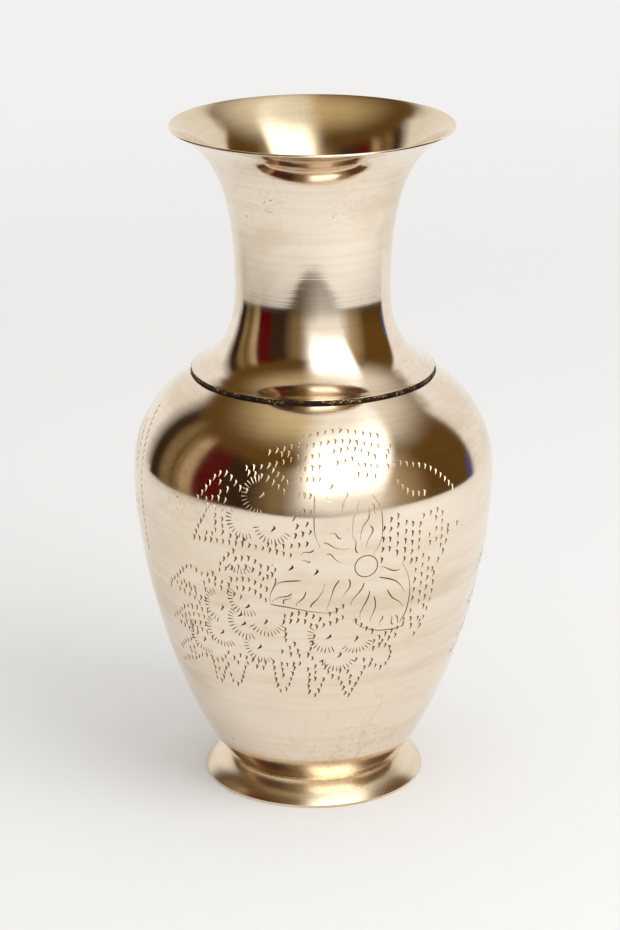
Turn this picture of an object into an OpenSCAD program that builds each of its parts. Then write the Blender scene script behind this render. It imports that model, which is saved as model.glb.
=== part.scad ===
// Footed brass flower vase: a spun trumpet neck lapped over a turned shoulder,
// a shoulder and bowl brazed at the belly, and a cast foot ring under the bowl.
// Millimetres, +Z up, origin at the centre of the resting face.

/* [Overall] */
// Height from the resting face to the top of the lip
total_h = 250; // [200:1:320]
// Height of the neck above the shoulder's seat
neck_h = 92; // [70:1:130]
// Radius of the body at its widest
belly_r = 66.6; // [54:0.1:85]
// Drop from the shoulder's seat to the widest part of the body
belly_drop = 35.5; // [28:0.5:45]

/* [Neck] */
// Outer radius of the flared lip
mouth_r = 51.6; // [42:0.1:65]
// Outer radius of the neck at its narrowest
waist_r = 28.4; // [23:0.1:33]
// Height of the narrowest place above the shoulder's seat
waist_up = 31; // [25:0.5:38]
// Outer radius of the skirt that covers the shoulder's rim
skirt_r = 44.8; // [41:0.1:50]
// Thickness of the spun neck
neck_wall = 1; // [0.7:0.1:1.6]
// Height of the turned land round the skirt's edge
land_h = 1.5; // [1:0.1:2.5]
// Width of the skirt's edge where it rests on the solder
land_w = 1.4; // [1.2:0.1:2]
// Slope of the lip at the mouth, in degrees above level
lip_slope = 25; // [15:1:40]
// Slope of the skirt at its edge, in degrees above level
skirt_slope = 21.5; // [15:0.5:30]

/* [Body] */
// Thickness of the shoulder and the bowl
body_wall = 1.2; // [1:0.1:2]
// Radius of the bowl where it meets the foot
arris_r = 32.6; // [28:0.1:36]
// Slope of the bowl where it leaves the foot, in degrees above level
bowl_slope = 51.5; // [45:0.5:60]
// Slope of the shoulder where it meets the neck, in degrees below level
shoulder_slope = 32; // [25:0.5:40]
// How far the shoulder's seat reaches out past the neck's skirt
seat_margin = 0.2; // [0.1:0.1:0.6]
// Height of the shoulder's collar inside the neck, above the seat
collar_h = 7; // [5:0.5:10]
// Depth of the spigot that the shoulder pushes into the bowl
lap_h = 5; // [3:0.5:8]

/* [Foot] */
// Height of the joint between the foot and the bowl
foot_h = 7.8; // [6:0.1:12]
// Outer radius of the foot
foot_r = 41.3; // [38:0.1:50]
// How far the foot's upper face swells out from a straight cone
foot_swell = 1; // [0.4:0.1:2.5]
// Thickness of the foot's flare and flange
foot_wall = 1.5; // [1.2:0.1:2.5]
// Height of the upright edge at the bottom of the flare
foot_edge = 1; // [0.8:0.1:2]
// Width of the ring that rests on the table
rim_w = 2.4; // [2:0.1:4]
// Width of the flange that is soldered under the bowl
flange_w = 5; // [3:0.5:8]

/* [Joints] */
// Thickness of the solder under the neck's skirt
neck_film = 0.5; // [0.2:0.1:0.8]
// How far that solder stays back from the face of the skirt
film_setback = 0.2; // [0.1:0.1:0.4]
// Clearance between the shoulder's collar and the inside of the neck
collar_gap = 0.2; // [0.1:0.05:0.4]
// Thickness of the braze in the belly's lap joint
lap_film = 0.1; // [0.05:0.05:0.2]
// Thickness of the solder between the foot and the bowl
foot_film = 0.3; // [0.2:0.1:0.6]

/* [Hidden] */

$fn = 180;
STEPS = 20;

// Curve handles: how far each profile keeps its end direction
skirt_pull = 13.5;
waist_pull_down = 12;
waist_pull_up = 30.5;
lip_pull = 20.5;
shoulder_pull = 16;
belly_pull_up = 13.5;
belly_pull_down = 39;
bowl_pull = 29.5;

// Heights
seat_z = total_h - neck_h;
skirt_z = seat_z + neck_film;
land_top = skirt_z + land_h;
waist_z = seat_z + waist_up;
belly_z = seat_z - belly_drop;
lap_z = belly_z - lap_h;
foot_top = foot_h - foot_film;

// Radii
seat_r = skirt_r + seat_margin;
skirt_in = skirt_r - land_w;
collar_r = skirt_in - collar_gap;
belly_in = belly_r - body_wall;
spigot_r = belly_r - body_wall / 2 - lap_film / 2;
socket_r = spigot_r + lap_film;
flange_in = arris_r - flange_w;
rim_in = foot_r - rim_w;

// The lip's edge is a half round of the neck's own thickness
lip_round = neck_wall / 2;
lip_c = [mouth_r - lip_round, total_h - lip_round];
edge_break = 0.3;

// A direction at an angle above level, and a point on a cubic curve with its left-hand normal
function dir(a) = [cos(a), sin(a)];
function unit(v) = v / norm(v);
function left(v) = [-v.y, v.x];
function bez(p, t) =
    pow(1 - t, 3) * p[0] + 3 * t * pow(1 - t, 2) * p[1] + 3 * t * t * (1 - t) * p[2] + pow(t, 3) * p[3];
function slope(p, t) =
    pow(1 - t, 2) * (p[1] - p[0]) + 2 * t * (1 - t) * (p[2] - p[1]) + t * t * (p[3] - p[2]);
function beside(p, t, gap) = bez(p, t) + gap * left(unit(slope(p, t)));

// A whole curve, set off to its left by gap, with its first point left out when it joins another
function curve(p, gap = 0, from = 0) = [for (i = [from:STEPS]) beside(p, i / STEPS, gap)];
function back(list) = [for (i = [len(list) - 1:-1:0]) list[i]];

// Outer faces, each drawn from the bottom up, so that left is towards the axis
bowl_curve = [
    [arris_r, foot_h],
    [arris_r, foot_h] + bowl_pull * dir(bowl_slope),
    [belly_r, belly_z - belly_pull_down],
    [belly_r, belly_z]
];
shoulder_curve = [
    [belly_r, belly_z],
    [belly_r, belly_z + belly_pull_up],
    [seat_r, seat_z] + shoulder_pull * dir(-shoulder_slope),
    [seat_r, seat_z]
];
skirt_curve = [
    [skirt_r, land_top],
    [skirt_r, land_top] + skirt_pull * dir(180 - skirt_slope),
    [waist_r, waist_z - waist_pull_down],
    [waist_r, waist_z]
];
flare_end = lip_c + lip_round * dir(lip_slope - 90);
flare_curve = [
    [waist_r, waist_z],
    [waist_r, waist_z + waist_pull_up],
    flare_end - lip_pull * dir(lip_slope),
    flare_end
];

// The foot's flare runs from its edge up to the bowl, swelling outwards
foot_low = [foot_r, foot_edge];
foot_high = [arris_r, foot_top];
foot_bow = -4 / 3 * foot_swell * left(unit(foot_high - foot_low));
foot_curve = [
    foot_low,
    foot_low + (foot_high - foot_low) / 3 + foot_bow,
    foot_high - (foot_high - foot_low) / 3 + foot_bow,
    foot_high
];

// Spun trumpet neck with a half-round lip and a turned land at its skirt
module neck() {
    inner = concat(curve(skirt_curve, neck_wall), curve(flare_curve, neck_wall, 1));
    lip = [for (i = [1:7]) lip_c + lip_round * dir(lip_slope - 90 + i * 22.5)];
    color("burlywood") rotate_extrude() polygon(concat(
        [[skirt_in, skirt_z], [skirt_r, skirt_z]],
        curve(skirt_curve),
        curve(flare_curve, 0, 1),
        lip,
        back([for (p = inner) if (p.y > waist_z || p.x < skirt_in) p])
    ));
}

// Upper half of the body, with a seat and a collar for the neck and a spigot for the bowl
module shoulder() {
    under_neck = neck_wall + collar_gap;
    steps = [for (i = [0:STEPS]) i / STEPS];
    in_neck = [for (t = steps)
        if (beside(skirt_curve, t, under_neck).x < collar_r
            && beside(skirt_curve, t, under_neck).y < seat_z + collar_h) t];
    outer = [for (t = in_neck) beside(skirt_curve, t, under_neck)];
    inner = [for (t = in_neck) beside(skirt_curve, t, under_neck + body_wall)];
    color("tan") rotate_extrude() polygon(concat(
        [[belly_in, lap_z], [spigot_r, lap_z], [spigot_r, belly_z]],
        curve(shoulder_curve),
        [[collar_r, seat_z]],
        outer,
        back([for (p = inner) if (p.x < collar_r - body_wall) p]),
        [[collar_r - body_wall / 2, seat_z - body_wall]],
        back([for (p = curve(shoulder_curve, body_wall)) if (p.x > collar_r) p])
    ));
}

// Lower half of the body, closed at the bottom, with a socket for the shoulder's spigot
module bowl() {
    floor_z = foot_h + body_wall;
    corner_r = arris_r - body_wall * tan(bowl_slope / 2);
    color("wheat") rotate_extrude() polygon(concat(
        [[0, foot_h]],
        curve(bowl_curve),
        [[socket_r, belly_z], [socket_r, lap_z - lap_film], [belly_in, lap_z - lap_film]],
        back([for (p = curve(bowl_curve, body_wall)) if (p.y > floor_z && p.y < lap_z - lap_film) p]),
        [[corner_r, floor_z], [0, floor_z]]
    ));
}

// Cast foot: a flared ring with an upright edge, and a flange under the bowl
module foot_ring() {
    under = [for (p = curve(foot_curve, foot_wall)) if (p.x < rim_in && p.y > edge_break) p];
    color("goldenrod") rotate_extrude() polygon(concat(
        [[rim_in, 0], [foot_r - edge_break, 0], [foot_r, edge_break]],
        curve(foot_curve),
        [[flange_in, foot_top], [flange_in, foot_top - foot_wall]],
        back([for (p = under) if (p.x > flange_in) p])
    ));
}

// Filler metal in each joint: a flat ring under the skirt, a film round the spigot, a flat ring on the foot
module neck_solder() {
    color("dimgray") rotate_extrude()
        polygon([
            [skirt_in, seat_z], [skirt_r - film_setback, seat_z],
            [skirt_r - film_setback, skirt_z], [skirt_in, skirt_z]
        ]);
}

module belly_braze() {
    color("gold") rotate_extrude()
        polygon([
            [spigot_r, belly_z], [socket_r, belly_z], [socket_r, lap_z - lap_film],
            [belly_in, lap_z - lap_film], [belly_in, lap_z], [spigot_r, lap_z]
        ]);
}

module foot_solder() {
    color("silver") rotate_extrude()
        polygon([
            [flange_in, foot_top], [arris_r, foot_top],
            [arris_r, foot_h], [flange_in, foot_h]
        ]);
}

neck();
shoulder();
bowl();
foot_ring();
neck_solder();
belly_braze();
foot_solder();
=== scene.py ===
"""Engraved brass vase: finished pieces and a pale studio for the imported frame."""

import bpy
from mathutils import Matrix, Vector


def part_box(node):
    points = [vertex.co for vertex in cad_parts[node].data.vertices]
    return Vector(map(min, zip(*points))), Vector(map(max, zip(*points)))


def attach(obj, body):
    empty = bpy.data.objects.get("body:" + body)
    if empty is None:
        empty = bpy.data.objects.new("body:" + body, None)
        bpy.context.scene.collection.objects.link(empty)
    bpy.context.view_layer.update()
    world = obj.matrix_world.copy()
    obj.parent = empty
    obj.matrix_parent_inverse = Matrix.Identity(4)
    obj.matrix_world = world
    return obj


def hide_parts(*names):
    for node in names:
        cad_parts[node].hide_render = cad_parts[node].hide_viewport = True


bl_info = {
    "name": "Engraved Brass Vase",
    "version": (1, 0, 0),
    "blender": (4, 5, 0),
    "location": "3D View > Sidebar > Vase",
    "description": "Builds a spun brass vase with engraved flower panels round its body",
    "category": "Object",
}

import math
import random

import bmesh
import bpy
import numpy as np
from bpy.props import FloatProperty, FloatVectorProperty, IntProperty, PointerProperty
from mathutils import Matrix, Vector

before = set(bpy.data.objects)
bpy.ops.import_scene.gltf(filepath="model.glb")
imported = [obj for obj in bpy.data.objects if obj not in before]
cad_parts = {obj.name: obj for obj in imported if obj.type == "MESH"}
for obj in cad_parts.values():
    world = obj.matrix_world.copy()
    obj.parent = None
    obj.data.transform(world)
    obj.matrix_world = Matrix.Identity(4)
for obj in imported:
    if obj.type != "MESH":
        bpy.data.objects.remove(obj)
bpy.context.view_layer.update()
BODY = "root"
MM = 0.001

NECK_LOW, NECK_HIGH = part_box("neck")
SHOULDER_LOW, SHOULDER_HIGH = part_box("shoulder")
BOWL_LOW, BOWL_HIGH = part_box("bowl")
FOOT_LOW, FOOT_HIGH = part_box("foot_ring")
NECK_FILM_LOW, NECK_FILM_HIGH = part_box("neck_solder")
FOOT_FILM_LOW, FOOT_FILM_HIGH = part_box("foot_solder")


def length(name, about, default):
    """A size in metres for the sidebar."""
    return FloatProperty(name=name, description=about, default=default, unit="LENGTH",
                         subtype="DISTANCE", precision=5)


def tint(name, about, default):
    """A linear colour for the sidebar."""
    return FloatVectorProperty(name=name, description=about, default=default, subtype="COLOR",
                               size=3, min=0.0, max=1.0)


def share(name, about, default):
    """A value from 0 to 1 for the sidebar."""
    return FloatProperty(name=name, description=about, default=default, subtype="FACTOR",
                         min=0.0, max=1.0)


class VASE_PG_sizes(bpy.types.PropertyGroup):
    """Sizes of the turned pieces"""

    total_height: length("Height", "Table to the top of the lip", NECK_HIGH.z)
    mouth_radius: length("Mouth radius", "Outer radius of the lip", NECK_HIGH.x)
    waist_radius: length("Waist radius", "Outer radius of the neck at its narrowest", 28.4 * MM)
    waist_rise: length("Waist height", "Narrowest place above the shoulder's seat", 31 * MM)
    skirt_radius: length("Skirt radius", "Outer radius of the neck's foot",
                         NECK_FILM_HIGH.x + 0.2 * MM)
    skirt_height: length("Skirt height", "Table to the underside of the skirt", NECK_LOW.z)
    land_height: length("Land height", "Upright edge of the skirt", 1.5 * MM)
    land_width: length("Land width", "Flat underside of the skirt", 1.4 * MM)
    neck_wall: length("Neck wall", "Thickness of the spun neck", 1.0 * MM)
    seat_height: length("Seat height", "Table to the shoulder's seat", NECK_FILM_LOW.z)
    belly_radius: length("Belly radius", "Widest radius of the body", SHOULDER_HIGH.x)
    belly_height: length("Belly height", "Table to the widest place", BOWL_HIGH.z)
    body_wall: length("Body wall", "Thickness of the shoulder and the bowl", 1.2 * MM)
    arris_radius: length("Arris radius", "Bowl's radius where it meets the foot",
                         FOOT_FILM_HIGH.x)
    joint_height: length("Bowl's base", "Table to the underside of the bowl", BOWL_LOW.z)
    foot_radius: length("Foot radius", "Outer radius of the foot", FOOT_HIGH.x)
    foot_top: length("Foot height", "Height of the foot under the bowl", FOOT_HIGH.z)
    foot_wall: length("Foot wall", "Thickness of the foot's flare", 1.5 * MM)


class VASE_PG_engraving(bpy.types.PropertyGroup):
    """The graver's strokes"""

    panels: IntProperty(name="Panels", description="Flower panels round the body", default=3,
                        min=1, max=3)
    dash_pitch: length("Dash pitch", "Distance between two struck dashes", 2.6 * MM)
    column_pitch: length("Column pitch", "Distance between two dashes of a column", 3.5 * MM)
    dash_length: length("Dash length", "Length of a struck dash", 2.4 * MM)
    dash_width: length("Dash width", "Width of a dash at its head", 1.0 * MM)
    notch_length: length("Notch length", "Length of a cut round a blossom", 2.7 * MM)
    notch_width: length("Notch width", "Width of a cut round a blossom", 0.44 * MM)
    vein_width: length("Vein width", "Width of a petal's veins", 0.48 * MM)
    depth_share: share("Depth", "Depth of a stroke as a share of its half width", 0.7)


class VASE_PG_finish(bpy.types.PropertyGroup):
    """Colours and polish of the metals"""

    brass: tint("Brass", "Polished brass of the neck and the body", (0.885, 0.77, 0.635))
    foot_brass: tint("Foot brass", "Yellower brass of the cast foot", (0.86, 0.73, 0.55))
    tarnish: tint("Tarnish", "Brown haze on the brass", (0.60, 0.45, 0.27))
    bloom: tint("Bloom", "Dull pink stain on the brass", (0.76, 0.58, 0.47))
    patina: tint("Patina", "Grime left in the strokes", (0.25, 0.115, 0.035))
    # Painted highlight: the strokes above the belly get this brighter colour for the light they catch
    # there
    cut_painted_highlight: tint("Painted highlight in cuts", "Bright metal of the strokes above the belly",
                    (0.84, 0.72, 0.52))
    # Also laid on the skirt's polished land, where it is painted reflection of the dark room
    solder: tint("Solder", "Oxidised solder under the skirt", (0.030, 0.015, 0.012))
    polish: share("Polish", "Roughness of the polished brass", 0.065)


class VASE_PG_studio(bpy.types.PropertyGroup):
    """Camera and room"""

    lens: FloatProperty(name="Lens", description="Focal length", default=112.9, unit="CAMERA")
    camera_distance: length("Camera distance", "Camera in front of the vase's axis", 1.02625)
    camera_height: length("Camera height", "Camera above the table", 0.47235)
    camera_pitch: FloatProperty(name="Camera pitch", description="Camera's tilt below level",
                                default=math.radians(18.91), unit="ROTATION", subtype="ANGLE")
    camera_roll: FloatProperty(name="Camera roll", description="Camera's turn about its view",
                               default=math.radians(-0.16), unit="ROTATION", subtype="ANGLE")
    camera_shift: FloatProperty(name="Camera shift", description="Sideways shift of the frame",
                                default=-0.0036)
    floor_radius: length("Floor radius", "Radius of the pale floor", 1.8)
    sweep_near: length("Sweep's near edge", "Paper's edge in front of the vase", 0.53)
    sweep_gain: length("Sweep's growth", "How much further it reaches to the sides", 0.20)
    paper: tint("Paper", "Colour of the floor", (0.89, 0.888, 0.886))


# ---------------------------------------------------------------------------
# Drawn profiles. A profile point is (radius, height), and left is towards the axis.

# Slopes in degrees from level, and how far each curve keeps its end direction
BOWL_SLOPE = 51.5
BOWL_PULL = 29.5 * MM
BELLY_PULL_DOWN = 39 * MM
BELLY_PULL_UP = 13.5 * MM
SHOULDER_SLOPE = 32
SHOULDER_PULL = 16 * MM
SKIRT_SLOPE = 21.5
SKIRT_PULL = 13.5 * MM
WAIST_PULL_DOWN = 12 * MM
WAIST_PULL_UP = 30.5 * MM
LIP_SLOPE = 25
LIP_PULL = 20.5 * MM
FOOT_SWELL = 1 * MM

# Fits between the pieces
SEAT_MARGIN = 0.2 * MM
COLLAR_GAP = 0.2 * MM
COLLAR_HEIGHT = 7 * MM
LAP_HEIGHT = 5 * MM
LAP_FILM = 0.1 * MM
RIM_WIDTH = 2.4 * MM
FLANGE_WIDTH = 5 * MM
EDGE_BREAK = 0.3 * MM


def at(radius, height):
    """A profile point."""
    return Vector((radius, height))


def heading(degrees):
    """Unit step at an angle above level."""
    return Vector((math.cos(math.radians(degrees)), math.sin(math.radians(degrees))))


def on_curve(handles, t):
    """Point of a cubic curve."""
    a, b, c, d = handles
    s = 1.0 - t
    return a * s ** 3 + b * 3 * s * s * t + c * 3 * s * t * t + d * t ** 3


def along_curve(handles, t):
    """Unit direction of a cubic curve."""
    a, b, c, d = handles
    s = 1.0 - t
    return ((b - a) * s * s + (c - b) * 2 * s * t + (d - c) * t * t).normalized()


def draw(handles, steps, inset=0.0):
    """Points of a curve, moved towards the axis by inset."""
    points = []
    for i in range(steps + 1):
        t = i / steps
        way = along_curve(handles, t)
        points.append(on_curve(handles, t) + Vector((-way.y, way.x)) * inset)
    return points


def bowl_handles(s):
    """Outer face of the bowl, from the foot up to the belly."""
    start = at(s.arris_radius, s.joint_height)
    end = at(s.belly_radius, s.belly_height)
    return start, start + heading(BOWL_SLOPE) * BOWL_PULL, end - at(0, BELLY_PULL_DOWN), end


def shoulder_handles(s):
    """Outer face of the shoulder, from the belly up to the seat."""
    start = at(s.belly_radius, s.belly_height)
    end = at(s.skirt_radius + SEAT_MARGIN, s.seat_height)
    return start, start + at(0, BELLY_PULL_UP), end + heading(-SHOULDER_SLOPE) * SHOULDER_PULL, end


def skirt_handles(s):
    """Outer face of the neck, from the land up to the waist."""
    start = at(s.skirt_radius, s.skirt_height + s.land_height)
    end = at(s.waist_radius, s.seat_height + s.waist_rise)
    leave = heading(180 - SKIRT_SLOPE) * SKIRT_PULL
    return start, start + leave, end - at(0, WAIST_PULL_DOWN), end


def lip_centre(s):
    """Centre of the rounded lip."""
    half = s.neck_wall / 2
    return at(s.mouth_radius - half, s.total_height - half)


def flare_handles(s):
    """Outer face of the neck, from the waist up to the lip."""
    start = at(s.waist_radius, s.seat_height + s.waist_rise)
    end = lip_centre(s) + heading(LIP_SLOPE - 90) * (s.neck_wall / 2)
    return start, start + at(0, WAIST_PULL_UP), end - heading(LIP_SLOPE) * LIP_PULL, end


def foot_handles(s):
    """Upper face of the foot, from its edge up to the bowl."""
    low = at(s.foot_radius, 1.0 * MM)
    high = at(s.arris_radius, s.foot_top)
    way = (high - low).normalized()
    swell = at(way.y, -way.x) * (4 / 3 * FOOT_SWELL)
    return low, low + (high - low) / 3 + swell, high - (high - low) / 3 + swell, high


def neck_outline(s):
    """Closed section of the spun neck."""
    skirt_in = s.skirt_radius - s.land_width
    under = s.skirt_height
    land = [
        at(skirt_in, under),
        at(s.skirt_radius - 0.25 * MM, under),
        at(s.skirt_radius, under + 0.2 * MM),
        at(s.skirt_radius, under + 0.62 * MM),
        at(s.skirt_radius - 0.09 * MM, under + 0.74 * MM),
        at(s.skirt_radius, under + 0.86 * MM),
        at(s.skirt_radius, under + s.land_height - 0.12 * MM),
        at(s.skirt_radius - 0.12 * MM, under + s.land_height),
    ]
    centre = lip_centre(s)
    lip = [centre + heading(LIP_SLOPE - 90 + i * 15) * (s.neck_wall / 2) for i in range(1, 12)]
    waist = s.seat_height + s.waist_rise
    inside = draw(skirt_handles(s), 24, s.neck_wall)[:-1] + draw(flare_handles(s), 36, s.neck_wall)
    inside = [p for p in inside if p.y > waist or p.x < skirt_in]
    return (land + draw(skirt_handles(s), 40)[1:] + draw(flare_handles(s), 56)[1:]
            + lip + inside[::-1] + [land[0]])


def shoulder_outline(s):
    """Closed section of the shoulder, with its collar inside the neck and its spigot."""
    inner = s.belly_radius - s.body_wall
    spigot = s.belly_radius - s.body_wall / 2 - LAP_FILM / 2
    lap = s.belly_height - LAP_HEIGHT
    collar = s.skirt_radius - s.land_width - COLLAR_GAP
    collar_top = s.seat_height + COLLAR_HEIGHT
    gap = s.neck_wall + COLLAR_GAP
    outer = [p for p in draw(skirt_handles(s), 20, gap) if p.x < collar and p.y < collar_top]
    inner_collar = [p for p in draw(skirt_handles(s), 20, gap + s.body_wall)
                    if p.x < collar - s.body_wall and p.y < collar_top]
    under = [p for p in draw(shoulder_handles(s), 20, s.body_wall) if p.x > collar]
    return ([at(inner, lap), at(spigot, lap), at(spigot, s.belly_height)]
            + draw(shoulder_handles(s), 34)
            + [at(collar, s.seat_height)] + outer + inner_collar[::-1]
            + [at(collar - s.body_wall / 2, s.seat_height - s.body_wall)]
            + under[::-1] + [at(inner, lap)])


def bowl_outline(s):
    """Section of the bowl from the axis, round its outside and back, with its socket."""
    floor = s.joint_height + s.body_wall
    inner = s.belly_radius - s.body_wall
    socket = s.belly_radius - s.body_wall / 2 + LAP_FILM / 2
    ledge = s.belly_height - LAP_HEIGHT - LAP_FILM
    corner = s.arris_radius - s.body_wall * math.tan(math.radians(BOWL_SLOPE / 2))
    # a centre mark and two turned rings under the floor
    under = [(0.0, 0.55), (1.1, 0.1), (1.5, 0.0), (9.0, 0.0), (9.25, 0.12), (9.5, 0.0),
             (19.0, 0.0), (19.25, 0.12), (19.5, 0.0), (27.4, 0.0)]
    inside = [p for p in draw(bowl_handles(s), 28, s.body_wall) if floor < p.y < ledge]
    return ([at(r * MM, s.joint_height + dz * MM) for r, dz in under] + draw(bowl_handles(s), 76)
            + [at(socket, s.belly_height), at(socket, ledge), at(inner, ledge)]
            + inside[::-1] + [at(corner, floor), at(corner / 2, floor), at(0.0, floor)])


def foot_outline(s):
    """Closed section of the cast foot with its flange under the bowl."""
    rim_in = s.foot_radius - RIM_WIDTH
    flange_in = s.arris_radius - FLANGE_WIDTH
    under = [p for p in draw(foot_handles(s), 20, s.foot_wall)
             if flange_in < p.x < rim_in and p.y > EDGE_BREAK]
    return ([at(rim_in, 0), at(s.foot_radius - EDGE_BREAK, 0),
             at(s.foot_radius - 0.09 * MM, 0.09 * MM), at(s.foot_radius, EDGE_BREAK),
             at(s.foot_radius, 0.85 * MM)]
            + draw(foot_handles(s), 30)
            + [at(flange_in, s.foot_top), at(flange_in, s.foot_top - s.foot_wall)]
            + under[::-1] + [at(rim_in, 0)])


# ---------------------------------------------------------------------------
# Making and finishing pieces


def clear_selection():
    """Leave nothing selected, so that an operator acts only on its own piece."""
    if bpy.context.object and bpy.context.object.mode != "OBJECT":
        bpy.ops.object.mode_set(mode="OBJECT")
    bpy.ops.object.select_all(action="DESELECT")


def pick(piece):
    """Select one piece and make it active."""
    clear_selection()
    piece.select_set(True)
    bpy.context.view_layer.objects.active = piece


def edit_all():
    """Edit the active piece with all of it selected."""
    bpy.ops.object.mode_set(mode="EDIT")
    bpy.ops.mesh.select_all(action="SELECT")


def close_up(threshold):
    """Weld doubled points, face everything outwards and leave edit mode."""
    bpy.ops.mesh.select_all(action="SELECT")
    bpy.ops.mesh.remove_doubles(threshold=threshold)
    bpy.ops.mesh.normals_make_consistent(inside=False)
    bpy.ops.object.mode_set(mode="OBJECT")


def into_scene(name, data):
    """A new object in the scene."""
    made = bpy.data.objects.new(name, data)
    bpy.context.scene.collection.objects.link(made)
    return made


def turn_on_lathe(name, outline, segments=192):
    """Spin an outline round the upright axis into a closed solid."""
    clear_selection()
    bpy.ops.mesh.primitive_plane_add(size=1 * MM, location=(0, 0, 0))
    piece = bpy.context.object
    piece.name = name
    piece.data.name = name
    edit_all()
    bpy.ops.mesh.merge(type="CENTER")
    bpy.ops.transform.translate(value=(outline[0].x, 0, outline[0].y))
    for here, there in zip(outline, outline[1:]):
        step = (there.x - here.x, 0, there.y - here.y)
        bpy.ops.mesh.extrude_region_move(TRANSFORM_OT_translate={"value": step})
    bpy.ops.mesh.select_all(action="SELECT")
    bpy.ops.mesh.spin(steps=segments, angle=math.tau, center=(0, 0, 0), axis=(0, 0, 1))
    close_up(0.002 * MM)
    return piece


def smooth(piece, degrees=30):
    """Shade a piece smooth, with its sharp arrises kept."""
    pick(piece)
    bpy.ops.object.shade_smooth_by_angle(angle=math.radians(degrees))


def coat(piece, *metals):
    """Give a piece its materials, in slot order."""
    piece.data.materials.clear()
    for metal in metals:
        piece.data.materials.append(metal)


def seat(piece, node):
    """Put a finished piece on the body in place of its plain node."""
    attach(piece, BODY)
    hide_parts(node)


def paint_inside(piece, handles, wall, slot):
    """Put the faces that lie on a wall's inner side in another slot."""
    line = [p for h in handles for p in draw(h, 60, wall)]
    heights = np.array([p.y for p in line])
    radii = np.array([p.x for p in line])
    order = np.argsort(heights)
    for face in piece.data.polygons:
        centre = face.center
        radius = math.hypot(centre.x, centre.y)
        inner = np.interp(centre.z, heights[order], radii[order])
        if radius < inner + wall * 0.3:
            face.material_index = slot


def paint_land(piece, top, radius, slot):
    """Put the upright faces of the turned land in another slot."""
    for face in piece.data.polygons:
        centre = face.center
        if centre.z < top and math.hypot(centre.x, centre.y) > radius - 0.4 * MM:
            face.material_index = slot


# ---------------------------------------------------------------------------
# Engraving. A stroke's place is (degrees to the right of the front, millimetres up).

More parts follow.
